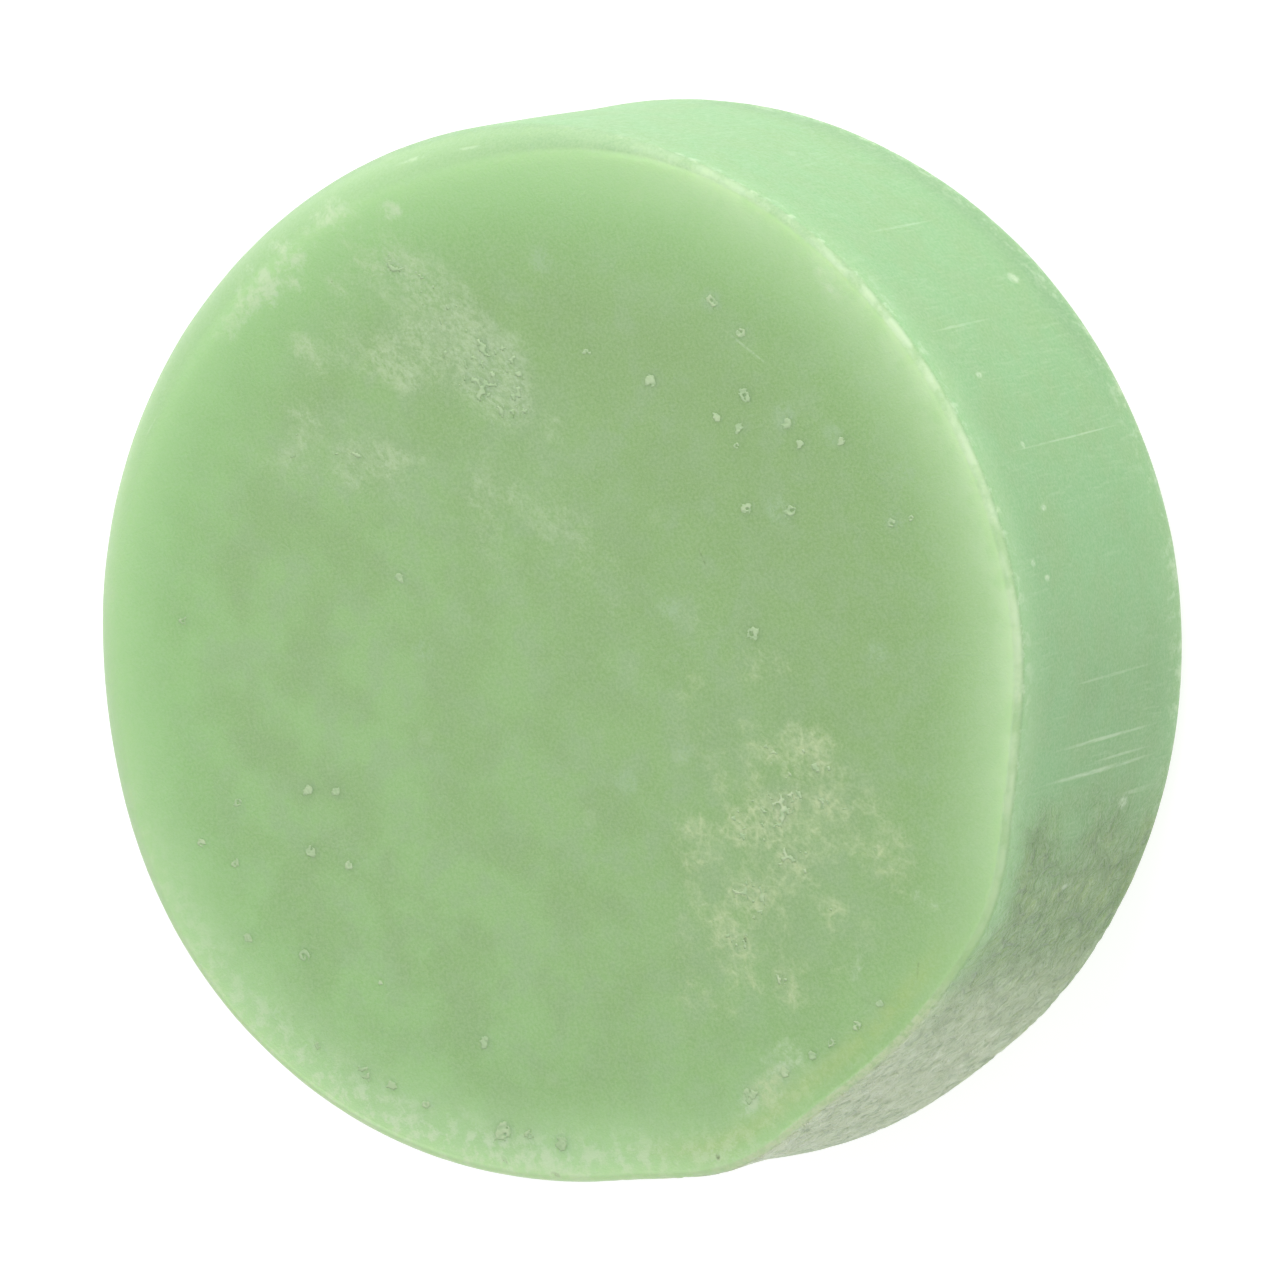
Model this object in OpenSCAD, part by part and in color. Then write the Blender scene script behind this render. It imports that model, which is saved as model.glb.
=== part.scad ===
// Shaving soap puck: one round cast cake of translucent soap. Soap that has dried
// on its used face stands there as separate thin crusts, crumbs and flakes.
// The puck lies on its back face, at z = 0, with its axis on +Z. Millimetres.

/* [Puck] */
// Diameter of the puck
puck_d = 70; // [56:1:80]
// Thickness, from the back face to the used face
puck_t = 25; // [18:1:35]
// Radius of the rounded edge of the used face
face_edge_r = 2; // [1:0.5:3]
// Radius of the rounded edge of the back face
back_edge_r = 2.5; // [1:0.5:4]

/* [Dried soap] */
// Thickness of the dried film
film_t = 0.12; // [0.1:0.02:0.3]
// Thickness of the dried lather crust
crust_t = 0.18; // [0.1:0.02:0.4]
// Height of a crumb, as a share of its base radius
crumb_rise = 0.35; // [0.2:0.05:0.9]
// Thickness of a flake near the rim
flake_t = 0.25; // [0.1:0.05:0.5]

/* [Hidden] */
$fn = 96;

soap_green = [0.62, 0.77, 0.54];
dried_soap = [0.82, 0.88, 0.76];

puck_r = puck_d / 2;
flat_r = puck_r - face_edge_r;      // radius of the flat part of the used face
face_scale = flat_r / 33;           // the dried soap keeps its share of the face
golden_angle = 137.5;

// Stretches of film: [start, end, number of spots, radius at the ends, radius at the middle]
film_bands = [
    [[27.5, 3.5], [15, -4.5], 6, 1.5, 3.0],
    [[20.5, 15.5], [11.5, 6.5], 5, 1.2, 2.4],
    [[30.5, 1.5], [28, 11.5], 4, 0.9, 1.7]
];

// Patches of lather crust: [centre, half length, half width, angle, number of spots, spot radius]
crust_patches = [
    [[-16, -15.5], 7.5, 5.5, -65, 13, 2.4],
    [[-23, -7], 5.5, 3.5, 10, 8, 2.0]
];

// Single crumbs on the used face: [x, y, base radius]
crumbs = [
    [9, 26, 0.5], [8, 9, 0.45], [19, -9, 0.55], [16, -13, 0.6],
    [20, -19, 0.6], [17.5, -20.5, 0.5], [13.5, -19.5, 0.7], [12.5, -17, 0.5],
    [11.5, -18.5, 0.55], [10.5, -18, 0.4], [11, -22, 0.6], [9.5, -22.5, 0.5],
    [9, -25.5, 0.5], [6.5, -17.5, 0.6], [5.5, -20.5, 0.65], [3, -27.5, 0.4],
    [3, -29, 0.4], [-1.5, -15.5, 0.65], [-3.5, 25.5, 0.6], [-4, 20, 0.55],
    [-4.5, 18, 0.5], [-5.5, 29, 0.5], [-7.5, 27, 0.55], [-8, 21, 0.6],
    [-9.5, 18.5, 0.5], [-14.5, 23.5, 0.7], [-12.5, 27.5, 0.5], [-17.5, 18.5, 0.45],
    [-23, 12, 0.7], [-20.5, 24.5, 0.5]
];

// Larger flakes near the rim: [distance from the axis, direction, radius]
flakes = [
    [31.5, 137, 0.9], [31.3, 141, 0.6], [31.4, 146, 0.5], [31.6, 157, 1.0],
    [31.4, 160.5, 0.6], [31.8, 165, 0.6], [31.3, -168, 0.9], [31.1, -162.5, 0.6],
    [31.3, -158, 0.6], [31.5, -155, 0.5], [31.8, -151, 0.6], [32.0, -147, 0.5]
];

function along(a, b, t) = a + (b - a) * t;
function turned(p, angle) =
    [p.x * cos(angle) - p.y * sin(angle), p.x * sin(angle) + p.y * cos(angle)];

// A round spot of dried soap, resting on the used face
module spot(place, r, thickness)
    translate([place.x * face_scale, place.y * face_scale, puck_t])
        cylinder(r = r * face_scale, h = thickness);

// A low dome, flat underneath, resting on the used face
module dome(place, r, rise) {
    base_r = r * face_scale;
    h = base_r * rise;
    ball_r = (base_r * base_r + h * h) / (2 * h);
    translate([place.x * face_scale, place.y * face_scale, puck_t])
        intersection() {
            translate([0, 0, h - ball_r]) sphere(r = ball_r);
            cylinder(r = 2 * base_r, h = 2 * h);
        }
}

// Section of one half of the puck, from its flat face inwards, with the edge rounded
module half_section(edge_r) {
    square([puck_r - edge_r, puck_t / 2]);
    translate([0, edge_r]) square([puck_r, puck_t / 2 - edge_r]);
    translate([puck_r - edge_r, edge_r]) circle(r = edge_r);
}

// The cast cake of soap, one solid all the way through
module soap_puck()
    color(soap_green) rotate_extrude() {
        half_section(back_edge_r);
        translate([0, puck_t]) mirror([0, 1]) half_section(face_edge_r);
    }

// Thin pale film that dried in streaks across the face
module dried_film()
    color(dried_soap)
        for (band = film_bands) {
            last = band[2] - 1;
            for (i = [0 : last])
                spot(along(band[0], band[1], i / last),
                     along(band[3], band[4], sin(180 * i / last)), film_t);
        }

// Bubbly lather that dried as one broad patch and a smaller one beside it
module lather_crust()
    color(dried_soap)
        for (patch = crust_patches)
            for (i = [0 : patch[4] - 1]) {
                reach = sqrt((i + 0.5) / patch[4]);
                offset_in_patch = [patch[1] * reach * cos(i * golden_angle),
                                   patch[2] * reach * sin(i * golden_angle)];
                spot(patch[0] + turned(offset_in_patch, patch[3]), patch[5], crust_t);
            }

// Crumbs of dried soap, each a separate solid
module face_crumbs()
    color(dried_soap)
        for (c = crumbs) dome([c.x, c.y], c.z, crumb_rise);

// Flakes along the rim, each a separate solid
module rim_flakes()
    color(dried_soap)
        for (f = flakes)
            spot([f.x * cos(f.y), f.x * sin(f.y)], f.z, flake_t);

soap_puck();
dried_film();
lather_crust();
face_crumbs();
rim_flakes();
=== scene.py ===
"""A worn puck of pale green shaving soap, lying on its back face.

The cast cake is one closed mesh with worn edges, dents and pits. The dried soap on its used face is a
set of closed relief meshes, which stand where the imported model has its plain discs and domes.
Everything is in metres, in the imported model's frame: +Z is the puck's axis, towards the used face.
"""
import math

import bpy
import numpy as np
from mathutils import Matrix, Vector
from mathutils.bvhtree import BVHTree
from mathutils.kdtree import KDTree


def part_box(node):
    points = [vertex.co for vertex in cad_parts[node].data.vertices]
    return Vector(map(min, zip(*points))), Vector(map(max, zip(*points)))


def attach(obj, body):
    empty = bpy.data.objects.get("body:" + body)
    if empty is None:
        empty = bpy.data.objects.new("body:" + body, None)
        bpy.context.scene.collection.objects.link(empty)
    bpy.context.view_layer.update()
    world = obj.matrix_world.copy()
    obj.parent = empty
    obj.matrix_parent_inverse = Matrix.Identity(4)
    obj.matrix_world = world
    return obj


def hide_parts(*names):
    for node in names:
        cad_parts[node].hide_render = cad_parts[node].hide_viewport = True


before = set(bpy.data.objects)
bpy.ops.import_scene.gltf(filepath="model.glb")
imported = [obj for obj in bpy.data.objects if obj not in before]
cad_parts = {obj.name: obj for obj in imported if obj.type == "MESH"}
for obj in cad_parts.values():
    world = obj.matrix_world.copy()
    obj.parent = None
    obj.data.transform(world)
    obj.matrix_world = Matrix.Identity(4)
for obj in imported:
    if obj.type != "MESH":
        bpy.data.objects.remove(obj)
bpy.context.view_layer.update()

# ---------------------------------------------------------------- sizes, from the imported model
MM = 0.001
low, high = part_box("soap_puck")
RADIUS = (high.x - low.x) / 2
THICKNESS = high.z - low.z
FACE_Z = high.z

# The mesh of the puck
GRID = 192                 # cells across the used face
FACE_RINGS = 12            # rings of vertices over the rounded edge of the used face
WALL_RINGS = 52
BACK_RINGS = 6
UNDERSIDE = (0.97, 0.85, 0.6, 0.3)     # radii of the rings on the back face, as shares of its radius

# The worn shape
CRISP_EDGE = 0.7 * MM      # edge radius where the used face meets the side sharply
SOFT_EDGE = 3.4 * MM       # edge radius where the soap has worn round
BACK_EDGE = 2.2 * MM
BEADS = (-78, -81, -84.5, -95, -100.5, -102.5, -106, -113.5, -118.5)    # azimuths of lumps on the crest
BEAD_WIDTH = 0.5           # half the width of such a lump, in degrees
FILM_ANGLE = math.radians(38)        # which way the film's streaks run
KEY_LIGHT = (-20, 33)                # azimuth and elevation of the lamp

# About how far each kind of wear moves the surface
DENTS = 0.09 * MM
RIPPLES = 0.025 * MM
CREASES = 0.07 * MM
CREST_BUMPS = 0.035 * MM
BEAD_RISE = 0.04 * MM
BACK_HOLLOWS = 0.05 * MM
FACE_HOLLOWS = 0.06 * MM
FACE_PITS = 0.018 * MM
FACE_LOWERED = 0.03 * MM   # how far the used face has worn down on the whole

# Stretches of the puck's round that wear or look alike: (middle, reach to either side), in degrees
SOFT_EDGE_ARC = (40, 100)
BUMPY_CREST_ARC = (-105, 85)
CREASED_ARC = (-162, 40)
SHADED_ARC = (-152, 44)
# Where the side carries painted shade
DEEP_SHADE_ARC = (-128, 30)
DEEP_TOP_ARC = (-126, 28)
# Where the side carries dust and a painted sheen
DUST_SHEEN_ARC = (-172, 42)
YELLOWED_ARC = (-160, 34)
CHALKY_ARC = (-158, 26)
RUBBED_ARC = (-96, 60)
BORDER_ARC = (-72, 72)
# Where the crest carries painted shade at full and at half strength
SHADED_CREST_ARC = (-92, 52)
LESS_SHADED_CREST_ARC = (12, 45)
GREEN_RIM_ARC = (-45, 48)
# Where the painted glow in the face's edges is greener, and where it is dimmed
GREEN_GLOW_ARC = (30, 130)
DIM_GLOW_ARC = (-150, 40)
LIT_ARC = (-20, 75)
LIT_BACK_ARC = (-40, 70)
FLECKED_RIM_ARC = (148, 78)

# Where soap dried on the used face, past the parts thick enough to stand proud.
# Each is [x, y, half length, half width, direction in degrees, strength], lengths in mm.
FILM_PATCHES = (
    (26.0, 2.4, 4.2, 2.5, 30, 0.95), (22.3, 0.2, 5.4, 2.8, 30, 1.0), (18.3, -2.6, 3.8, 2.0, 25, 0.85),
    (21.8, 3.4, 3.6, 2.7, 30, 0.78), (28.0, 6.4, 3.2, 2.2, 60, 0.6), (15.6, -5.0, 3.2, 1.8, -60, 0.5),
    (15.6, 8.2, 4.2, 3.0, 50, 0.72), (23.6, 9.8, 4.5, 2.6, 50, 0.45), (18.5, 13.8, 4.2, 3.2, 50, 0.42),
    (10.5, -1.0, 7.0, 5.0, 40, 0.38), (3.0, -3.0, 6.5, 5.0, 40, 0.3), (0.5, -10.5, 3.5, 2.4, 60, 0.25),
    (-8.0, 18.5, 5.0, 4.0, 0, 0.2))
RIM_PATCHES = (
    (30.0, 11.6, 3.8, 1.7, 112, 1.0), (31.8, 7.0, 2.2, 1.3, 100, 1.0), (31.2, 2.7, 0.8, 0.8, 0, 0.8),
    (27.5, 16.0, 2.6, 1.0, 125, 0.6), (-23.9, -17.0, 2.2, 0.6, 150, 0.7), (-28.9, -9.2, 1.6, 1.1, 120, 1.0),
    (-31.0, -6.6, 1.2, 0.8, 120, 0.9), (-21.4, -22.8, 1.0, 0.5, 40, 0.9), (-31.5, 1.5, 1.6, 0.8, 90, 0.6),
    (-27.5, 14.5, 1.4, 0.7, 60, 0.6), (-25.0, 20.5, 1.6, 0.7, 45, 0.6), (19.0, -27.5, 1.5, 1.0, 50, 0.4))
CRUST_PATCHES = (
    (-15.3, -15.4, 3.8, 4.4, 0, 1.0), (-11.0, -17.8, 3.4, 2.6, 20, 0.52), (-20.6, -13.4, 3.2, 4.2, 0, 0.72),
    (-15.5, -9.0, 4.6, 3.8, 0, 0.62), (-22.0, -8.2, 6.0, 4.4, 60, 0.56), (-7.5, -13.5, 5.0, 5.5, 0, 0.48),
    (-18.0, -20.4, 2.8, 2.6, 0, 0.5), (-30.0, -8.0, 1.6, 2.6, 0, 0.85))

# Each layer of dried soap: its patches, how far its noise is drawn out along the streaks, and a seed
LAYERS = {
    "film": (FILM_PATCHES, 2.2, 21),
    "crust": (CRUST_PATCHES, 1.0, 22),
    "rim_film": (RIM_PATCHES, 1.0, 23)}


# ---------------------------------------------------------------- noise, the same on every run
def hashed(cell, seed):
    """A number from 0 to 1 for each row of integer coordinates."""
    h = np.full(len(cell), seed * 7919 + 17, dtype=np.uint64)
    for axis, prime in zip(range(cell.shape[1]), (374761393, 668265263, 2147483647)):
        h = (h ^ (cell[:, axis].astype(np.int64).astype(np.uint64) * np.uint64(prime)))
        h = (h ^ (h >> np.uint64(13))) * np.uint64(1274126177)
        h = h ^ (h >> np.uint64(16))
    return (h & np.uint64(0xFFFFFF)).astype(float) / 0xFFFFFF


def value_noise(points, size, seed):
    """Smooth noise from -1 to 1, with features about size across."""
    p = points / size
    base = np.floor(p)
    t = p - base
    t = t * t * t * (t * (t * 6 - 15) + 10)
    dims = points.shape[1]
    total = np.zeros(len(points))
    for corner in range(2 ** dims):
        bits = np.array([(corner >> k) & 1 for k in range(dims)])
        weight = np.prod(np.where(bits, t, 1 - t), axis=1)
        total += weight * hashed((base + bits).astype(np.int64), seed)
    return total * 2 - 1


def fractal(points, size, octaves, seed):
    """Noise from -1 to 1 in layers, each half the size and half the strength of the one before."""
    total, reach = np.zeros(len(points)), 0.0
    for k in range(octaves):
        total += value_noise(points, size / 2 ** k, seed + 31 * k) / 2 ** k
        reach += 1 / 2 ** k
    return total / reach


def rough_noise(points, size, octaves, seed, keep=0.72):
    """Noise from about -1 to 1 whose fine layers stay strong."""
    total, power = np.zeros(len(points)), 0.0
    for k in range(octaves):
        total += value_noise(points, size / 2 ** k, seed + 31 * k) * keep ** k
        power += keep ** (2 * k)
    return total / math.sqrt(power)


def bubbles(points, size, seed):
    """How far each 2-D point is from the wall between bubbles: 0 on a wall, in units of size."""
    p = points / size
    base = np.floor(p)
    near = np.full((len(p), 2), 9.0)
    for i in (-1, 0, 1):
        for j in (-1, 0, 1):
            cell = (base + (i, j)).astype(np.int64)
            centre = cell + np.stack([hashed(cell, seed), hashed(cell, seed + 5)], 1)
            d = np.hypot(*(p - centre).T)
            closer = d < near[:, 0]
            near[:, 1] = np.where(closer, near[:, 0], np.minimum(near[:, 1], d))
            near[:, 0] = np.where(closer, d, near[:, 0])
    return near[:, 1] - near[:, 0]


def smooth(zero_at, one_at, x):
    """0 up to zero_at and 1 from one_at on, with a soft step between. Either may be the greater."""
    t = np.clip((x - zero_at) / (one_at - zero_at), 0, 1)
    return t * t * (3 - 2 * t)


def bell(x, middle, width):
    """1 at the middle, falling off softly on both sides."""
    return np.exp(-((x - middle) / width) ** 2)


def turned_to(angle, middle, reach):
    """1 in the middle of an arc, falling to 0 at its ends. The angle is in radians, the arc in degrees."""
    off = np.abs((np.degrees(angle) - middle + 180) % 360 - 180)
    return 1 - smooth(0, reach, off)


def direction(azimuth, elevation):
    """A unit vector. Azimuth is measured from +X towards +Y, elevation from the floor. Degrees."""
    a, e = math.radians(azimuth), math.radians(elevation)
    return Vector((math.cos(a) * math.cos(e), math.sin(a) * math.cos(e), math.sin(e)))


# ---------------------------------------------------------------- where the dried soap lies
class Footprint:
    """The outline of a CAD node of dried soap, seen along the puck's axis."""

    def __init__(self, node):
        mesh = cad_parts[node].data
        self.tree = BVHTree.FromPolygons([v.co for v in mesh.vertices],
                                         [tuple(p.vertices) for p in mesh.polygons])
        self.rim = KDTree(len(mesh.vertices))
        for i, v in enumerate(mesh.vertices):
            self.rim.insert((v.co.x, v.co.y, 0), i)
        self.rim.balance()

    def depth(self, points):
        """How far inside the outline each point is, in metres; negative outside it."""
        above, down = FACE_Z + 0.01, Vector((0, 0, -1))
        out = np.empty(len(points))
        for i, (x, y) in enumerate(points[:, :2]):
            inside = self.tree.ray_cast(Vector((x, y, above)), down)[0] is not None
            d = self.rim.find((x, y, 0))[2]
            out[i] = d if inside else -d
        return out


def islands(node):
    """(x, y, radius) of each separate solid of a CAD node, seen along the puck's axis."""
    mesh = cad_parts[node].data
    parent = {}

    def root(key):
        while parent[key] != key:
            parent[key] = parent[parent[key]]
            key = parent[key]
        return key

    def key_of(i):
        return tuple(round(c / (0.001 * MM)) for c in mesh.vertices[i].co)

    for edge in mesh.edges:
        a, b = (key_of(i) for i in edge.vertices)
        for k in (a, b):
            parent.setdefault(k, k)
        parent[root(a)] = root(b)
    groups = {}
    for v in mesh.vertices:
        groups.setdefault(root(key_of(v.index)), []).append((v.co.x, v.co.y))
    found = []
    for places in groups.values():
        lo, hi = np.min(places, 0), np.max(places, 0)
        found.append((*(lo + hi) / 2, max(hi - lo) / 2))
    return sorted(found)


# ---------------------------------------------------------------- the puck
def outline_radius(angle, height):
    """The puck's radius in each direction. Height runs from 0 at the back face to 1 at the used face."""
    even = RADIUS * (1.002 + 0.0025 * np.cos(3 * angle + 1.2))
    front = (0.20 * np.cos(angle) - 0.40 * turned_to(angle, 178, 48) + 0.80 * turned_to(angle, -174, 14)
             - 0.20 * turned_to(angle, -157, 14) + 0.50 * turned_to(angle, -131, 14)
             - 0.35 * turned_to(angle, -113, 16))
    rear = (1.10 * turned_to(angle, -184, 27) - 0.20 * turned_to(angle, -128, 36)
            - 0.22 * turned_to(angle, -36, 40))
    share = smooth(0.1, 0.95, height)
    return even + MM * (front * share + rear * (1 - share))


def face_edge_radius(angle):
    """The used face's edge is worn round on the +X +Y side, and crisper elsewhere."""
    soft = turned_to(angle, *SOFT_EDGE_ARC)
    return CRISP_EDGE + (SOFT_EDGE - CRISP_EDGE) * smooth(0.05, 0.7, soft)


def face_relief(x, y):
    """Height of the used face over its plane: gentle hollows and fine pits."""
    p = np.stack([x, y], 1)
    return (FACE_HOLLOWS * fractal(p, 16 * MM, 3, 11) + FACE_PITS * fractal(p, 2.2 * MM, 3, 12)
            - FACE_LOWERED)


def disc_points(n):
    """A square grid of (n + 1)^2 points spread over the unit disc, the indices of its rim, its cells."""
    u, v = np.meshgrid(np.linspace(-1, 1, n + 1), np.linspace(-1, 1, n + 1))
    x, y = u * np.sqrt(1 - v * v / 2), v * np.sqrt(1 - u * u / 2)
    index = np.arange((n + 1) ** 2).reshape(n + 1, n + 1)
    rim = np.concatenate([index[0, :-1], index[:-1, -1], index[-1, :0:-1], index[:0:-1, 0]])
    quads = np.stack([index[:-1, :-1], index[:-1, 1:], index[1:, 1:], index[1:, :-1]], -1)
    return np.stack([x.ravel(), y.ravel()], 1), rim, quads.reshape(-1, 4)


def puck_rings(angle):
    """(distance in from the outline, height) of each ring, from the used face's edge to the back face."""
    edge, zero = face_edge_radius(angle), np.zeros(len(angle))
    rings = []
    for k in range(1, FACE_RINGS + 1):
        t = math.pi / 2 * k / FACE_RINGS
        rings.append((edge * (1 - math.sin(t)), FACE_Z - edge * (1 - math.cos(t))))
    for k in range(1, WALL_RINGS + 1):
        t = k / (WALL_RINGS + 1)
        rings.append((zero, (FACE_Z - edge) * (1 - t) + BACK_EDGE * t))
    for k in range(BACK_RINGS + 1):
        t = math.pi / 2 * k / BACK_RINGS
        rings.append((BACK_EDGE * (1 - math.cos(t)) + zero, BACK_EDGE * (1 - math.sin(t)) + zero))
    for share in UNDERSIDE:
        rings.append((outline_radius(angle, zero) * (1 - share) + BACK_EDGE * share, zero))
    return rings


def puck_mesh():
    """The points and faces of the puck as one closed mesh."""
    disc, rim, quads = disc_points(GRID)
    angle = np.arctan2(disc[rim, 1], disc[rim, 0])
    around = len(rim)
    rings = puck_rings(angle)

    toward = np.arctan2(disc[:, 1], disc[:, 0])
    reach = np.hypot(*disc.T) * (outline_radius(toward, 1.0) - face_edge_radius(toward))
    parts = [np.column_stack([reach * np.cos(toward), reach * np.sin(toward), np.full(len(disc), FACE_Z)])]
    for inward, z in rings:
        r = outline_radius(angle, z / FACE_Z) - inward
        parts.append(np.column_stack([r * np.cos(angle), r * np.sin(angle), z]))
    parts.append(np.zeros((1, 3)))
    points = np.concatenate(parts)

    faces = [tuple(quad) for quad in quads.tolist()]
    loops = [rim] + [len(disc) + around * k + np.arange(around) for k in range(len(rings))]
    for upper, lower in zip(loops[:-1], loops[1:]):
        faces += np.stack([upper, lower, np.roll(lower, -1), np.roll(upper, -1)], 1).tolist()
    last, middle = loops[-1], len(points) - 1
    faces += np.stack([last, np.full(around, middle), np.roll(last, -1)], 1).tolist()
    return points, faces


def vertex_normals(mesh):
    normals = np.empty(len(mesh.vertices) * 3)
    mesh.vertex_normals.foreach_get("vector", normals)
    return normals.reshape(-1, 3)


def add_attribute(mesh, name, values):
    mesh.attributes.new(name, "FLOAT", "POINT").data.foreach_set("value", np.asarray(values, float))


def new_object(name, points, faces, attributes=(), smooth_faces=None):
    mesh = bpy.data.meshes.new(name)
    mesh.from_pydata(points.tolist(), [], [list(face) for face in faces])
    mesh.validate()
    for key, values in dict(attributes).items():
        add_attribute(mesh, key, values)
    mesh.polygons.foreach_set("use_smooth", [True] * len(faces) if smooth_faces is None else smooth_faces)
    mesh.update()
    obj = bpy.data.objects.new(name, mesh)
    bpy.context.scene.collection.objects.link(obj)
    return obj


def slanted(points, angle, slant, stretch):
    """The places round the side, unrolled and drawn out along a slanted line, to give noise a grain."""
    u, v = RADIUS * angle, points[:, 2]
    c, t = math.cos(math.radians(slant)), math.sin(math.radians(slant))
    return np.stack([(u * c + v * t) / stretch, -u * t + v * c], 1)


def wear(points, normals):
    """How far each vertex of the puck moves along its normal, in metres."""
    angle, upward = np.arctan2(points[:, 1], points[:, 0]), normals[:, 2]
    side = 1 - smooth(0.3, 0.8, np.abs(upward))
    crest = smooth(0.15, 0.5, upward) * smooth(0.99, 0.8, upward) * turned_to(angle, *BUMPY_CREST_ARC)
    beads = sum(bell(np.degrees(angle), bead, BEAD_WIDTH) for bead in BEADS) * crest
    creased = smooth(0, 0.6, turned_to(angle, *CREASED_ARC)) * side
    creases = 1 - np.abs(rough_noise(slanted(points, angle, 75, 1.5), 1.0 * MM, 3, 5)) * 1.6
    move = DENTS * fractal(points, 20 * MM, 2, 3)
    move += RIPPLES * fractal(points, 3 * MM, 3, 4) * (0.4 + 0.6 * side)
    move -= CREASES * smooth(0.5, 1.0, creases) * creased
    move += CREST_BUMPS * rough_noise(points, 1.5 * MM, 2, 6) * crest + BEAD_RISE * beads
    hollows = -BACK_HOLLOWS * (0.5 + 0.5 * fractal(points, 7 * MM, 4, 7))
    under = smooth(0.9, 0.99, -upward)
    return move * (1 - under) + hollows * under


def spread(plan, patches):
    """How near each place is to the middle of a patch: 1 at the middle of the strongest ones."""
    best = np.zeros(len(plan))
    for x, y, long_half, short_half, turn, strength in patches:
        c, t = math.cos(math.radians(turn)), math.sin(math.radians(turn))
        u, v = plan[:, 0] / MM - x, plan[:, 1] / MM - y
        far = ((u * c + v * t) / long_half) ** 2 + ((v * c - u * t) / short_half) ** 2
        best = np.maximum(best, strength * np.exp(-0.8 * far))
    return best


def drawn_out(plan, stretch):
    """Plan places squeezed along the film's longest streak, to draw noise out along it."""
    c, t = math.cos(FILM_ANGLE), math.sin(FILM_ANGLE)
    return np.stack([plan @ (c, t) / stretch, plan @ (-t, c)], 1)


def cover(plan, layer):
    """How much of a layer of dried soap lies at each place: its patches, broken up by noise."""
    patches, stretch, seed = LAYERS[layer]
    near = spread(plan, patches)
    broken = rough_noise(drawn_out(plan, stretch), 3.0 * MM, 5, seed)
    return near + 0.62 * broken * smooth(0.02, 0.4, near)


# ---------------------------------------------------------------- where each look shows on the puck
class Skin:
    """The puck's vertices before they are worn: where they are, and which way they face."""

    def __init__(self, points, normals):
        self.normals, self.upward = normals, normals[:, 2]
        self.x, self.y, self.z = points.T
        self.plan = points[:, :2]
        self.angle = np.arctan2(self.y, self.x)
        self.inward = outline_radius(self.angle, np.ones(len(points))) - np.hypot(self.x, self.y)
        self.face = smooth(0.2, 0.6, self.upward)
        self.side = 1 - self.face - smooth(0.2, 0.6, -self.upward)
        self.ragged = self.angle + 0.16 * fractal(points, 5 * MM, 4, 25)
        self.shaded = turned_to(self.ragged, *SHADED_ARC)


def dried_looks(skin):
    """How much of each layer of dried soap lies on the used face, and the haze around it."""
    on_face = np.where((skin.upward > 0.6) & (skin.z > THICKNESS / 2))[0]
    looks = {}
    for layer in LAYERS:
        looks[layer] = np.zeros(len(skin.z))
        looks[layer][on_face] = cover(skin.plan[on_face], layer)
    near = spread(skin.plan, FILM_PATCHES + CRUST_PATCHES) + 0.25 * fractal(skin.plan, 3 * MM, 3, 24)
    looks["haze"] = smooth(0.08, 0.7, near) * skin.face
    return looks


def face_looks(skin):
    """The used face: olive to mint, with glow painted greener and paler towards the rim, and a stain and
    flecks there.
    """
    angle, face, inward = skin.angle, skin.face, skin.inward
    across = skin.y - 0.35 * skin.x + 3 * MM * fractal(skin.plan, 12 * MM, 2, 23)
    green = 0.25 + 0.75 * smooth(0, 0.8, turned_to(angle, *GREEN_GLOW_ARC))
    stained = smooth(0, 0.6, turned_to(angle, *YELLOWED_ARC))
    return {
        "tone": smooth(-24 * MM, 26 * MM, across),
        # Painted glow: greener and paler towards the rim, standing in for light coming through the soap's
        # edges, dimmed round -X
        "glow_green": face * np.clip((12 * MM - inward) / (9 * MM), 0, 1) ** 1.3 * green,
        "glow": face * np.clip((6.8 * MM - inward) / (6.6 * MM), 0, 1) ** 1.5
        * (1 - 0.85 * turned_to(angle, *DIM_GLOW_ARC)),
        "yellowed": face * stained * bell(inward, 1.9 * MM, 0.75 * MM),
        "low_rim": bell(inward, 1.4 * MM, 1.7 * MM) * face * turned_to(angle, *FLECKED_RIM_ARC)}


def side_looks(skin):
    """The side: painted glow along its edges, and from -Y towards -X first painted shade, then grey painted
    shade with dust and a painted sheen.
    """
    angle, side, z, down = skin.angle, skin.side, skin.z, FACE_Z - skin.z
    # Painted glow: the side paler near its edges, standing in for light coming through the soap, less where
    # the lamp lights it
    near_face = 0.8 * smooth(4.5 * MM, 0.8 * MM, down) * (1 - 0.9 * turned_to(angle, *LIT_ARC))
    near_back = 0.5 * smooth(8 * MM, 1.5 * MM, z) * (1 - turned_to(angle, *LIT_BACK_ARC))
    # Painted shade: the side darker green between -Y and -X, where it turns away from the lamp
    deep_shade = turned_to(skin.ragged, *DEEP_SHADE_ARC) * smooth(-1 * MM, 5 * MM, z) * smooth(23 * MM, 13 * MM, z)
    deep_top = smooth(20.5 * MM, 24 * MM, z) * turned_to(angle, *DEEP_TOP_ARC)
    rim_green = bell(z, 3.4 * MM, 1.5 * MM)
    rim_dust = 1.2 * smooth(5 * MM, 0.5 * MM, z) + 0.9 * smooth(2.5 * MM, 0.2 * MM, down)
    return {
        "side": side,
        "side_glow": side * (near_face + near_back),
        "deep_shade": side * deep_shade,
        "shade": side * smooth(0, 0.5, skin.shaded) * (1 - 0.8 * deep_top),
        # Dust, together with a painted sheen of the floor's reflection, towards -X
        "dust_and_sheen": side * smooth(0.05, 0.75, turned_to(skin.ragged, *DUST_SHEEN_ARC)),
        "rim_green": side * rim_green * smooth(0, 0.6, turned_to(angle, *GREEN_RIM_ARC)),
        "rim_dust": side * rim_dust * (1 - smooth(0, 0.4, skin.shaded))}


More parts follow.
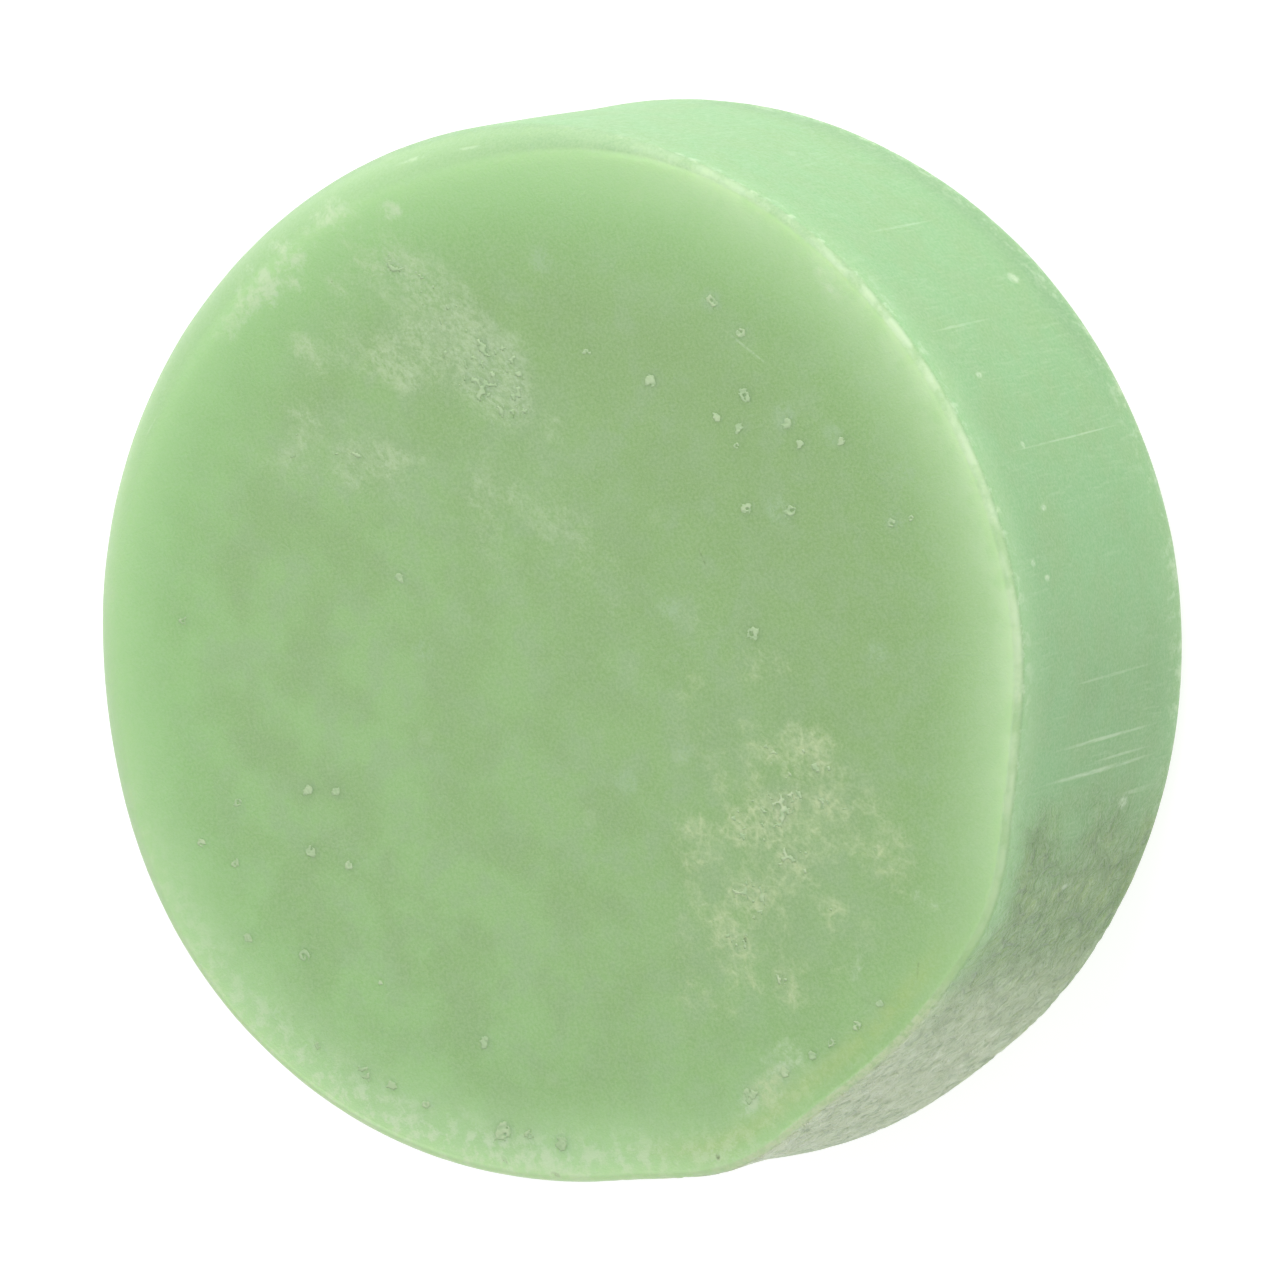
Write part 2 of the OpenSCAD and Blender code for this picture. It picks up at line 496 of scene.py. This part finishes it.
def crest_looks(skin):
    """The crest between face and side: rubbed pale, with painted shade where it faces the lamp and round -Y,
    chalky towards -X.
    """
    angle, upward = skin.angle, skin.upward
    line = 0.38 * bell(upward, 0.7, 0.28) * smooth(1.0, 0.93, upward) * smooth(
        0.0, 0.5, turned_to(angle, *RUBBED_ARC))
    border = skin.face * bell(skin.inward, 0, 2.2 * MM) * smooth(0.0, 0.6, turned_to(angle, *BORDER_ARC))
    # Painted shade: the crest made darker green where it faces the lamp and round -Y, to tone down the light
    # on it
    to_lamp = smooth(0.5, 0.9, skin.normals @ direction(*KEY_LIGHT))
    crest_shade = np.maximum(to_lamp * (1 - 0.5 * turned_to(angle, *LESS_SHADED_CREST_ARC)),
                        0.6 * smooth(0, 0.4, turned_to(angle, *SHADED_CREST_ARC)))
    chalky = smooth(0.05, 0.5, turned_to(angle, *CHALKY_ARC)) * smooth(0.99, 0.9, upward)
    return {
        "worn": smooth(0.02, 0.3, upward) * (line + 0.35 * border),
        "crest_shade": crest_shade * smooth(0.998, 0.93, upward) * smooth(0.0, 0.3, upward),
        "chalky": chalky * smooth(-0.15, 0.1, upward)}


def paint(puck, skin):
    """Stores what the soap's material reads: how strongly each kind of look shows at each vertex."""
    for looks in (dried_looks(skin), face_looks(skin), side_looks(skin), crest_looks(skin)):
        for name, values in looks.items():
            add_attribute(puck.data, name, values)


def make_puck():
    points, faces = puck_mesh()
    puck = new_object("puck", points, faces)
    normals = vertex_normals(puck.data)
    paint(puck, Skin(points, normals))
    on_face = smooth(0.97, 0.995, normals[:, 2])
    points = points + normals * (wear(points, normals) * (1 - on_face))[:, None]
    points[:, 2] += face_relief(points[:, 0], points[:, 1]) * on_face
    puck.data.vertices.foreach_set("co", points.ravel())
    puck.data.update()
    return puck


# ---------------------------------------------------------------- the dried soap
SUNK = 0.12 * MM           # how far the dried soap reaches into the cake, under its uneven face
FILM_RISE = 0.005 * MM     # how far each kind stands over the face, at the most
CRUST_RISE = 0.013 * MM
CRUMB_RISE = 0.030 * MM
FLAKE_RISE = 0.030 * MM


def tile(x, y, reach, step):
    """A square grid of points about a place: (points, cells across)."""
    n = 2 * int(math.ceil(reach / step))
    u, v = np.meshgrid(np.linspace(x - reach, x + reach, n + 1), np.linspace(y - reach, y + reach, n + 1))
    return np.stack([u.ravel(), v.ravel()], 1), n


def without_corner_contacts(kept):
    """Drops cells until no two of them touch only at a corner, which keeps the mesh a clean solid."""
    kept = kept.copy()
    while True:
        a, b, c, d = kept[:-1, :-1], kept[:-1, 1:], kept[1:, :-1], kept[1:, 1:]
        falling, rising = a & d & ~b & ~c, b & c & ~a & ~d
        if not (falling.any() or rising.any()):
            return kept
        a[falling] = False
        b[rising] = False


def relief(tiles):
    """Closed solids standing on the used face wherever the height is over zero.

    tiles holds (points, cells across, height, value of each point's "faint" attribute). Also
    returned is which faces are smooth: only the tops, so that a thin edge doesn't bend their shading.
    """
    points, faces, faint, tops, start = [], [], [], [], 0
    for plan, n, height, pale in tiles:
        grid = (height > 0).reshape(n + 1, n + 1)
        kept = without_corner_contacts(grid[:-1, :-1] & grid[:-1, 1:] & grid[1:, :-1] & grid[1:, 1:])
        if not kept.any():
            continue
        index = np.arange((n + 1) ** 2).reshape(n + 1, n + 1)
        quads = np.stack([index[:-1, :-1], index[:-1, 1:], index[1:, 1:], index[1:, :-1]], -1)[kept]
        used, flat = np.unique(quads, return_inverse=True)
        quads, count = flat.reshape(-1, 4), len(used)
        ground = FACE_Z + face_relief(*plan[used].T)
        top = np.column_stack([plan[used], ground + height[used]])
        bottom = np.column_stack([plan[used], ground - SUNK])
        edges = np.concatenate([quads[:, [k, (k + 1) % 4]] for k in range(4)])
        both = {tuple(e) for e in edges.tolist()}
        border = np.array([e for e in edges.tolist() if (e[1], e[0]) not in both])
        walls = np.stack([border[:, 1], border[:, 0], border[:, 0] + count, border[:, 1] + count], 1)
        points += [top, bottom]
        faces += [quads + start, quads[:, ::-1] + count + start, walls + start]
        tops += [True] * len(quads) + [False] * (len(quads) + len(walls))
        faint += [np.broadcast_to(pale, len(plan))[used]] * 2
        start += 2 * count
    return np.concatenate(points), np.concatenate(faces), np.concatenate(faint), tops


def patch_tile(node, step):
    """One grid of points over the whole of a CAD node: (points, cells across)."""
    lo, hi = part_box(node)
    middle, reach = (lo + hi) / 2, max(hi.x - lo.x, hi.y - lo.y) / 2 + 0.5 * MM
    return tile(middle.x, middle.y, reach, step)


def veil_over(plan, layer, node):
    """How thick a layer of dried soap is at each place, from 0 to 1, inside the outline of its node."""
    return smooth(0.14, 1.02, cover(plan, layer)) * smooth(-0.8 * MM, 0.6 * MM, Footprint(node).depth(plan))


def film_tiles():
    """Very thin grains, in patches drawn out along the film's streaks."""
    plan, n = patch_tile("dried_film", 0.12 * MM)
    veil = veil_over(plan, "film", "dried_film")
    over = (0.9 * veil - 1.02 + 0.12 * rough_noise(drawn_out(plan, 1.6), 1.5 * MM, 2, 44)
            + 0.44 * rough_noise(drawn_out(plan, 1.3), 0.40 * MM, 2, 43))
    height = FILM_RISE * smooth(0, 0.6, over)
    return [(plan, n, height, 1 - 0.6 * smooth(0, 0.6, over))]


def crust_tiles():
    """Burst bubble walls and grains, thickest in the middle of the patch."""
    plan, n = patch_tile("lather_crust", 0.10 * MM)
    bent = plan + 0.26 * MM * np.stack([fractal(plan, MM, 3, 51), fractal(plan, MM, 3, 52)], 1)
    veil = veil_over(plan, "crust", "lather_crust")
    walls = (1 - smooth(0, 0.34, bubbles(bent, 0.95 * MM, 54))) * smooth(
        -0.5, 0.3, rough_noise(plan, 1.8 * MM, 3, 56))
    over = (0.9 * veil - 0.98 + 0.40 * rough_noise(plan, 0.36 * MM, 2, 55)
            + 0.35 * walls * smooth(0.35, 0.8, veil))
    height = CRUST_RISE * smooth(0, 0.6, over)
    return [(plan, n, height, 1 - 0.75 * smooth(0, 0.55, over))]


def blot(x, y, r, step, seed, rise, hollow, strength):
    """A low ragged blot of dried soap, or a ring of it where it is hollow in the middle."""
    plan, n = tile(x, y, r, step)
    away = np.hypot(*(plan - (x, y)).T) / r
    d = away / (0.74 + 0.36 * rough_noise(plan + seed, 0.6 * MM, 3, 61))
    body = smooth(1.0, 0.45, d) * (1 - hollow * bell(d, 0, 0.42))
    body = body * (0.68 + 0.75 * rough_noise(plan, 0.25 * MM, 2, 62)) - 0.12
    height = np.where(away < 1, rise * smooth(0, 0.8, body), 0)
    return plan, n, height, 1 - strength * smooth(0, 0.7, body)


def crumb_tiles():
    return [blot(x, y, r, 0.045 * MM, i, CRUMB_RISE, 0.85 * (i % 2), 0.18 + 0.36 * (i * 0.37 % 1))
            for i, (x, y, r) in enumerate(islands("face_crumbs"))]


def flake_tiles():
    return [blot(x, y, r, 0.06 * MM, i + 0.5, FLAKE_RISE, 0.3 * (i % 2), 0.25 + 0.35 * (i * 0.41 % 1))
            for i, (x, y, r) in enumerate(islands("rim_flakes"))]


def make_dried(name, node, tiles, material):
    points, faces, faint, tops = relief(tiles)
    piece = new_object(name, points, faces, {"faint": faint}, tops)
    piece.data.materials.append(material)
    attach(piece, "root")
    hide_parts(node)


# ---------------------------------------------------------------- materials
def srgb(r, g, b):
    """A linear colour from 8-bit display values."""
    def line(c):
        c /= 255
        return c / 12.92 if c <= 0.04045 else ((c + 0.055) / 1.055) ** 2.4
    return (line(r), line(g), line(b), 1.0)


def tinted(colour, factor):
    """The colour made darker or lighter."""
    return tuple(c * factor for c in colour[:3]) + (1.0,)


class Nodes:
    """Short calls for building a material's node tree."""

    def __init__(self, name):
        self.material = bpy.data.materials.new(name)
        self.material.use_nodes = True
        self.tree = self.material.node_tree
        self.shader = self.tree.nodes["Principled BSDF"]
        self.place = self.add("ShaderNodeTexCoord").outputs["Object"]

    def add(self, kind, inputs=None, **settings):
        node = self.tree.nodes.new(kind)
        for key, value in settings.items():
            setattr(node, key, value)
        for key, value in (inputs or {}).items():
            if isinstance(value, bpy.types.NodeSocket):
                self.tree.links.new(value, node.inputs[key])
            else:
                node.inputs[key].default_value = value
        return node

    def attribute(self, name):
        return self.add("ShaderNodeAttribute", attribute_name=name).outputs["Fac"]

    def noise(self, size, detail=3, lengthen=None, turn=(0, 0, 0), roughness=0.5, distortion=0.0):
        """Noise from 0 to 1 with features about size across, drawn out along turned axes."""
        place = self.place
        if lengthen:
            place = self.add("ShaderNodeMapping", {"Vector": place, "Rotation": turn, "Scale": lengthen},
                             vector_type="TEXTURE").outputs[0]
        return self.add("ShaderNodeTexNoise", {
            "Vector": place, "Scale": 1 / size, "Detail": detail, "Roughness": roughness,
            "Distortion": distortion}).outputs["Fac"]

    def maths(self, operation, a, b=0.0, clamp=False):
        return self.add("ShaderNodeMath", {0: a, 1: b}, operation=operation,
                        use_clamp=clamp).outputs[0]

    def ramp(self, value, start, end, low_value=0.0, high_value=1.0):
        return self.add("ShaderNodeMapRange", {
            "Value": value, "From Min": start, "From Max": end,
            "To Min": low_value, "To Max": high_value},
            interpolation_type="SMOOTHSTEP").outputs[0]

    def mix(self, factor, a, b):
        node = self.add("ShaderNodeMix", data_type="RGBA")
        for key, value in (("Factor", factor), ("A", a), ("B", b)):
            socket = next(s for s in node.inputs if s.name == key and s.enabled)
            if isinstance(value, bpy.types.NodeSocket):
                self.tree.links.new(value, socket)
            else:
                socket.default_value = value
        return next(s for s in node.outputs if s.enabled)

    def mix_value(self, factor, a, b):
        return self.add("ShaderNodeMix", {"Factor": factor, "A": a, "B": b}, data_type="FLOAT").outputs[0]

    def product(self, a, b):
        return self.maths("MULTIPLY", a, b)

    def centred(self, value, gain):
        """A value from 0 to 1, shifted to lie around 0 and made stronger or weaker."""
        return self.product(self.maths("SUBTRACT", value, 0.5), gain)

    def laid(self, colour, name, pattern, paint):
        """The colour with paint over it, as strong as the named attribute times the pattern."""
        return self.mix(self.product(self.attribute(name), pattern), colour, paint)

    def ellipsoid(self, centre, turn, half_sizes):
        """1 inside an upright ellipsoid turned about Z, fading to 0 at its surface."""
        place = self.add("ShaderNodeMapping", {
            "Vector": self.place, "Location": centre, "Rotation": (0, 0, turn), "Scale": half_sizes},
            vector_type="TEXTURE").outputs[0]
        away = self.add("ShaderNodeVectorMath", {0: place}, operation="LENGTH").outputs["Value"]
        return self.ramp(away, 1.0, 0.35)

    def cells(self, size, radius, share):
        """Round blots in a share of cells of this size. The radius is in cells."""
        cell = self.add("ShaderNodeTexVoronoi", {"Vector": self.place, "Scale": 1 / size})
        chosen = self.maths("GREATER_THAN", cell.outputs["Color"], 1 - share)
        return self.product(chosen, self.ramp(cell.outputs["Distance"], radius, radius * 0.5))

    def bubble_walls(self, size):
        """How far each place is from the wall between bubbles, in bubbles."""
        bent = self.add("ShaderNodeTexNoise", {"Vector": self.place, "Scale": 1 / size, "Detail": 3.0})
        push = self.add("ShaderNodeVectorMath", {0: bent.outputs["Color"], 3: 0.7 * size}, operation="SCALE")
        place = self.add("ShaderNodeVectorMath", {0: self.place, 1: push.outputs[0]}, operation="ADD")
        return self.add("ShaderNodeTexVoronoi", {"Vector": place.outputs[0], "Scale": 1 / size},
                        feature="DISTANCE_TO_EDGE").outputs["Distance"]

    def finish(self, colour, roughness, height=None, depth=0.0):
        self.tree.links.new(colour, self.shader.inputs["Base Color"])
        self.tree.links.new(roughness, self.shader.inputs["Roughness"])
        if height is not None:
            bump = self.add("ShaderNodeBump", {"Height": height, "Distance": depth})
            self.tree.links.new(bump.outputs[0], self.shader.inputs["Normal"])
        return self.material


OLIVE = srgb(138, 172, 113)
MINT = srgb(148, 188, 126)
SIDE_MINT = srgb(131, 180, 124)
HAZE = srgb(148, 175, 135)
# Painted glow of light coming through the soap's edges
GLOW_GREEN = srgb(150, 198, 130)
GLOW_PALE = srgb(178, 213, 160)
# Painted shade on the crest where it faces the lamp
CREST_SHADE_GREEN = srgb(138, 172, 128)
# Painted glow along the side's edges
SIDE_GLOW_PALE = srgb(156, 200, 145)
# Painted shade on the side away from the lamp
SHADE_GREEN = srgb(112, 152, 98)
SHADE_GREY = srgb(132, 161, 104)
# Dust and a painted sheen of the floor's reflection
DUST_SHEEN_PALE = srgb(196, 210, 176)
FILM_PALE = srgb(186, 205, 168)
CRUST_PALE = srgb(185, 202, 156)
FLECK_PALE = srgb(198, 215, 184)
# Painted shade in the side's creases
CREASE_SHADE = srgb(112, 141, 99)
WHITE_WEAR = srgb(206, 224, 194)
YELLOWED = srgb(164, 190, 116)
SPOT_GREY = srgb(160, 188, 152)
DIRT = srgb(96, 112, 70)
GRAIN_PALE = srgb(186, 208, 168)
DRIED_DULL = srgb(184, 200, 160)
DRIED_PALE = srgb(198, 212, 178)
DRIED_FAINT = srgb(158, 186, 142)


def side_place(azimuth, height):
    """A point on the side of the puck. The azimuth is in degrees, the height in metres."""
    a = math.radians(azimuth)
    return (RADIUS * math.cos(a), RADIUS * math.sin(a), height)


# Turns object space so that X runs round the side near azimuth -150, and Z a little off upright
PEEL_TURN = (0, math.radians(15), math.radians(-60))

# Scratches along the side: [azimuth, lower end, upper end, width, strength], lengths in mm
SCRATCHES = (
    (-81, 2.5, 21.5, 0.10, 0.45), (-113.8, 4, 21, 0.18, 0.45), (-117.3, 3, 22.5, 0.22, 0.5),
    (-116.2, 5, 14, 0.14, 0.35), (-121, 3, 9, 0.25, 0.3), (-107, 5, 19, 0.14, 0.25),
    (-52, 8, 19, 0.16, 0.3), (-66, 12, 22, 0.14, 0.3))

# Pale specks on the side: [azimuth, height, half length, half width], in mm
SIDE_SPECKS = (
    (-87.6, 18.2, 0.55, 0.3), (-94.9, 20, 0.5, 0.28), (-80.6, 17.9, 0.35, 0.35), (-61.8, 6.1, 0.9, 0.6),
    (-130.2, 13.8, 0.7, 0.3), (-122, 8, 0.9, 0.6), (-93, 21.5, 0.4, 0.3), (-72, 19, 0.5, 0.3))

# Faint round spots on the used face, where drops dried: [x, y, radius], in mm
DROP_SPOTS = (
    (25.5, -7.5, 1.2), (20, -19, 1.1), (11.5, -22, 1.2), (9.5, -25, 1.1), (5.8, -19.7, 1.3),
    (3.2, -27.8, 1.1), (6, -29.5, 1.0), (3, 8.7, 1.2), (1.5, -10, 1.2), (-8.8, -3.5, 1.3),
    (-7.8, -8.2, 1.1), (-4.8, -24, 1.2))

# Nicks and dirt on the used face: [x, y, half length, half width, direction in degrees, strength]
DARK_MARKS = (
    (-20.7, -9.1, 0.45, 0.16, -15, 0.7), (-25.3, -20.9, 0.7, 0.12, -25, 0.5),
    (4.0, -13.4, 1.3, 0.09, 10, 0.35), (-26.5, -16.6, 0.5, 0.2, 60, 0.35),
    (21.8, -3.2, 0.12, 0.12, 0, 0.5), (18.3, -4.5, 0.15, 0.10, 0, 0.4),
    (-34.0, -2.9, 0.30, 0.22, 0, 0.8), (-30.9, 12.8, 0.5, 0.2, 20, 0.5),
    (-32.6, 9.3, 0.5, 0.2, 60, 0.4))

# Rubbed places on the used face, and hairs that dried on it, listed the same way
PALE_MARKS = (
    (34.2, 0.4, 1.9, 0.22, 92, 0.5), (33.9, -4.0, 1.5, 0.15, 84, 0.3), (16.5, -20.5, 2.6, 0.12, 40, 0.3),
    (22.0, 24.7, 1.6, 0.10, 130, 0.3))


def marked(n, colour, marks, paint, grain):
    """The colour with flat oval marks on the used face, listed as DARK_MARKS are."""
    for x, y, long_half, short_half, turn, strength in marks:
        mark = n.ellipsoid((x * MM, y * MM, FACE_Z), math.radians(turn),
                           (long_half * MM, short_half * MM, 2 * MM))
        broken = n.ramp(grain, 0.40, 0.58, 0.1 * strength, strength)
        colour = n.mix(n.product(mark, broken), colour, paint)
    return colour


def side_marked(n, colour, streaks, specks):
    """The colour with the scratches and pale specks of the side."""
    for azimuth, low_end, high_end, width, strength in SCRATCHES:
        mark = n.ellipsoid(side_place(azimuth, (low_end + high_end) / 2 * MM), math.radians(azimuth),
                           (1 * MM, width * MM, (high_end - low_end) / 2 * MM))
        broken = n.ramp(streaks, 0.3, 0.6, 0.2 * strength, strength)
        colour = n.mix(n.product(mark, broken), colour, WHITE_WEAR)
    for azimuth, height, long_half, short_half in SIDE_SPECKS:
        mark = n.ellipsoid(side_place(azimuth, height * MM), math.radians(azimuth),
                           (1 * MM, short_half * MM, long_half * MM))
        colour = n.mix(n.product(mark, n.ramp(specks, 0.35, 0.6, 0.1, 0.7)), colour, WHITE_WEAR)
    return colour


def cast_colour(n, blotches):
    """The soap itself: hazy in patches, with painted glow in its edges, painted shade on the side away from
    the lamp, and painted shade on the crest where it faces the lamp.
    """
    colour = n.mix(n.attribute("tone"), OLIVE, MINT)
    colour = n.mix(n.ramp(n.noise(2.3 * MM, 4, roughness=0.55), 0.42, 0.64, 0, 0.46), colour, HAZE)
    colour = n.mix(n.ramp(n.noise(5 * MM, 4), 0.40, 0.62, 0, 0.5), colour, tinted(OLIVE, 0.95))
    colour = n.laid(colour, "haze", 0.3, HAZE)
    # Painted glow in the face's edges, standing in for light coming through the soap
    colour = n.mix(n.attribute("glow_green"), colour, GLOW_GREEN)
    colour = n.mix(n.attribute("glow"), colour, GLOW_PALE)
    uneven = n.ramp(n.noise(3 * MM, 5, roughness=0.6), 0.35, 0.65, 0.62, 1.0)
    colour = n.laid(colour, "side", uneven, SIDE_MINT)
    # Painted glow along the side's edges
    colour = n.laid(colour, "side_glow", 0.7, SIDE_GLOW_PALE)
    colour = n.laid(colour, "rim_green", 0.7, tinted(SIDE_MINT, 0.8))
    # Painted shade on the crest where it faces the lamp
    colour = n.laid(colour, "crest_shade", 0.95, CREST_SHADE_GREEN)
    # Painted shade on the side between -Y and -X
    colour = n.laid(colour, "deep_shade", 0.7, SHADE_GREEN)
    colour = n.laid(colour, "shade", 0.65, SHADE_GREY)
    return n.laid(colour, "yellowed", n.ramp(blotches, 0.3, 0.6, 0.22, 0.6), YELLOWED)


def dried_colour(n, colour, specks):
    """The colour with soap that dried on the used face, too thin to stand proud."""
    along = {"turn": (0, 0, FILM_ANGLE)}
    clouds = n.noise(2.4 * MM, 3, lengthen=(1.8, 1, 1), **along)
    fuzz = n.maths("ADD", n.centred(n.noise(0.8 * MM, 6, roughness=0.8), 0.95), n.centred(clouds, 0.8))
    fibres = n.ramp(n.noise(0.42 * MM, 5, lengthen=(1.5, 1, 1), roughness=0.8, **along),
                    0.38, 0.62, 0.05, 0.62)
    rings = n.maths("ADD", fibres, n.ramp(n.bubble_walls(1.15 * MM), 0.13, 0.02, 0, 0.38), clamp=True)
    flecks = n.ramp(n.noise(1.1 * MM, 4, roughness=0.68), 0.40, 0.62, 0.05, 0.68)
    for layer, start, full, grains, paint in (
            ("film", 0.2, 1.05, fibres, FILM_PALE), ("crust", 0.2, 1.05, rings, CRUST_PALE),
            ("rim_film", 0.25, 1.0, flecks, FLECK_PALE)):
        veil = n.ramp(n.maths("ADD", n.attribute(layer), fuzz), start, full)
        colour = n.mix(n.product(veil, grains), colour, paint)
    drops = [(x, y, r, r, 0, 0.45) for x, y, r in DROP_SPOTS]
    colour = marked(n, colour, drops, SPOT_GREY, specks)
    return n.mix(n.product(n.cells(2.6 * MM, 0.30, 0.16), 0.14), colour, FILM_PALE)


def worn_colour(n, colour, peel, streaks, blotches, specks):
    """The colour with wear: dust with a painted sheen and stains on the side, painted shade in its creases,
    the rubbed crest, scratches, specks and marks.
    """
    brushed = n.product(n.ramp(streaks, 0.48, 0.75, 0, 0.16),
                        n.ramp(n.noise(6 * MM, 3), 0.35, 0.65, 0.2, 1.0))
    stains = n.ramp(n.noise(2.2 * MM, 4, roughness=0.7), 0.5, 0.64, 0, 0.35)
    rubbed = n.ramp(n.noise(2 * MM, 6, roughness=0.6), 0.36, 0.62, 0.1, 0.85)
    for look, pattern, paint in (
            ("side", brushed, WHITE_WEAR),
            ("rim_dust", n.ramp(blotches, 0.48, 0.66, 0, 0.6), WHITE_WEAR),
            # Dust and a painted sheen of the floor's reflection
            ("dust_and_sheen", n.ramp(peel, 0.40, 0.55, 0.18, 1.0), DUST_SHEEN_PALE),
            ("shade", stains, YELLOWED),
            # Painted shade in the creases of the peel
            ("shade", n.ramp(peel, 0.45, 0.37, 0, 0.85), CREASE_SHADE),
            ("low_rim", n.ramp(blotches, 0.44, 0.62, 0.0, 0.8), FLECK_PALE),
            ("chalky", n.ramp(specks, 0.36, 0.6, 0.3, 0.85), DUST_SHEEN_PALE),
            ("worn", rubbed, WHITE_WEAR)):
        colour = n.laid(colour, look, pattern, paint)
    colour = side_marked(n, colour, streaks, specks)
    colour = marked(n, colour, PALE_MARKS, WHITE_WEAR, specks)
    return marked(n, colour, DARK_MARKS, DIRT, specks)


def soap_material():
    """Translucent soap. Light goes some millimetres into it and comes out again."""
    n = Nodes("cast soap")
    n.shader.inputs["Subsurface Weight"].default_value = 0.6
    n.shader.inputs["Subsurface Scale"].default_value = 3 * MM
    n.shader.inputs["Subsurface Radius"].default_value = (1.0, 0.95, 0.6)
    n.shader.inputs["IOR"].default_value = 1.46
    n.shader.inputs["Specular IOR Level"].default_value = 0.5

    grain = n.noise(0.20 * MM, 3, roughness=0.7)
    specks = n.noise(0.45 * MM, 4, roughness=0.75)
    streaks = n.noise(0.30 * MM, 4, lengthen=(1, 1, 9), roughness=0.65)
    peel = n.noise(1.25 * MM, 4, lengthen=(1, 1, 1.5), turn=PEEL_TURN, roughness=0.64, distortion=1.3)
    blotches = n.noise(0.9 * MM, 4, roughness=0.7)

    colour = cast_colour(n, blotches)
    colour = dried_colour(n, colour, specks)
    colour = worn_colour(n, colour, peel, streaks, blotches, specks)
    colour = n.mix(n.ramp(grain, 0.3, 0.7, 0.0, 0.24), colour, GRAIN_PALE)

    shade = n.attribute("shade")
    roughness = n.mix_value(shade, n.ramp(specks, 0.3, 0.7, 0.40, 0.56), n.ramp(specks, 0.3, 0.7, 0.30, 0.46))
    uneven = n.maths("ADD", grain, n.product(specks, 0.8))
    height = n.maths("ADD", uneven, n.product(shade, n.centred(peel, 46.0)))
    return n.finish(colour, roughness, height, 0.03 * MM)


def dried_material():
    """Matt dried soap, close to the cast soap's colour where it is thin."""
    n = Nodes("dried soap")
    n.shader.inputs["IOR"].default_value = 1.46
    n.shader.inputs["Specular IOR Level"].default_value = 0.3
    grain = n.noise(0.35 * MM, 4, roughness=0.7)
    colour = n.mix(n.ramp(grain, 0.35, 0.65), DRIED_DULL, DRIED_PALE)
    colour = n.mix(n.attribute("faint"), colour, DRIED_FAINT)
    return n.finish(colour, n.ramp(grain, 0.3, 0.7, 0.55, 0.8), grain, 0.02 * MM)


# ---------------------------------------------------------------- the room
FLOOR_REACH = 4.0
FLOOR_GREY = 0.35
FLOOR_GLOW = 0.8           # the floor shines a little, so that it stays near white
ROOM_LIGHT = 0.75


def floor_material():
    n = Nodes("white floor")
    n.shader.inputs["Base Color"].default_value = (FLOOR_GREY, FLOOR_GREY, FLOOR_GREY, 1)
    n.shader.inputs["Roughness"].default_value = 0.9
    n.shader.inputs["Specular IOR Level"].default_value = 0.0
    n.shader.inputs["Emission Color"].default_value = (1, 1, 1, 1)
    n.shader.inputs["Emission Strength"].default_value = FLOOR_GLOW
    return n.material


def make_floor():
    corners = FLOOR_REACH * np.array([(-1, -1, 0), (1, -1, 0), (1, 1, 0), (-1, 1, 0)])
    floor = new_object("floor", corners, np.array([(0, 1, 2, 3)]))
    floor.data.materials.append(floor_material())


def add_light(name, azimuth, elevation, distance, size, power):
    light = bpy.data.lights.new(name, "AREA")
    light.shape, light.size, light.energy = "SQUARE", size, power
    lamp = bpy.data.objects.new(name, light)
    lamp.location = Vector((0, 0, THICKNESS / 2)) + direction(azimuth, elevation) * distance
    lamp.rotation_euler = direction(azimuth, elevation).to_track_quat("Z", "Y").to_euler()
    bpy.context.scene.collection.objects.link(lamp)


def make_lights():
    world = bpy.data.worlds.new("soft white room")
    world.use_nodes = True
    world.node_tree.nodes["Background"].inputs["Color"].default_value = (1, 1, 1, 1)
    world.node_tree.nodes["Background"].inputs["Strength"].default_value = ROOM_LIGHT
    bpy.context.scene.world = world
    add_light("key", *KEY_LIGHT, distance=0.6, size=0.35, power=2.6)


# The camera looks down at the used face from its -Y side
VIEW_TILT = 29.5           # degrees between the puck's axis and the line of sight
VIEW_TURN = 15.0           # degrees that the picture is turned about the line of sight
VIEW_DISTANCE = 25 * RADIUS
VIEW_WIDTH = 2.424 * RADIUS          # what the picture's width spans at the puck
AIM_OFFSET = 0.0066 * RADIUS         # how far the puck's middle sits left of the picture's
SENSOR_WIDTH = 36.0                  # of the camera, in mm, as its lens is


def make_camera():
    tilt, turn = math.radians(VIEW_TILT), math.radians(VIEW_TURN)
    back = Vector((0, -math.sin(tilt), math.cos(tilt)))
    lean = Vector((0, -math.cos(tilt), -math.sin(tilt)))
    right = lean * math.cos(turn) - Vector((1, 0, 0)) * math.sin(turn)
    up = back.cross(right)
    data = bpy.data.cameras.new("camera")
    data.sensor_width = SENSOR_WIDTH
    data.lens = SENSOR_WIDTH * VIEW_DISTANCE / VIEW_WIDTH
    camera = bpy.data.objects.new("camera", data)
    place = Vector((0, 0, THICKNESS / 2)) + right * AIM_OFFSET + back * VIEW_DISTANCE
    camera.matrix_world = Matrix.Translation(place) @ Matrix((right, up, back)).transposed().to_4x4()
    bpy.context.scene.collection.objects.link(camera)
    bpy.context.scene.camera = camera


# ---------------------------------------------------------------- putting it together
bpy.context.scene.view_settings.view_transform = "Standard"
make_camera()
make_lights()
make_floor()

puck = make_puck()
puck.data.materials.append(soap_material())
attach(puck, "root")
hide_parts("soap_puck")

dried = dried_material()
make_dried("film_streaks", "dried_film", film_tiles(), dried)
make_dried("bubble_crust", "lather_crust", crust_tiles(), dried)
make_dried("soap_crumbs", "face_crumbs", crumb_tiles(), dried)
make_dried("edge_flakes", "rim_flakes", flake_tiles(), dried)
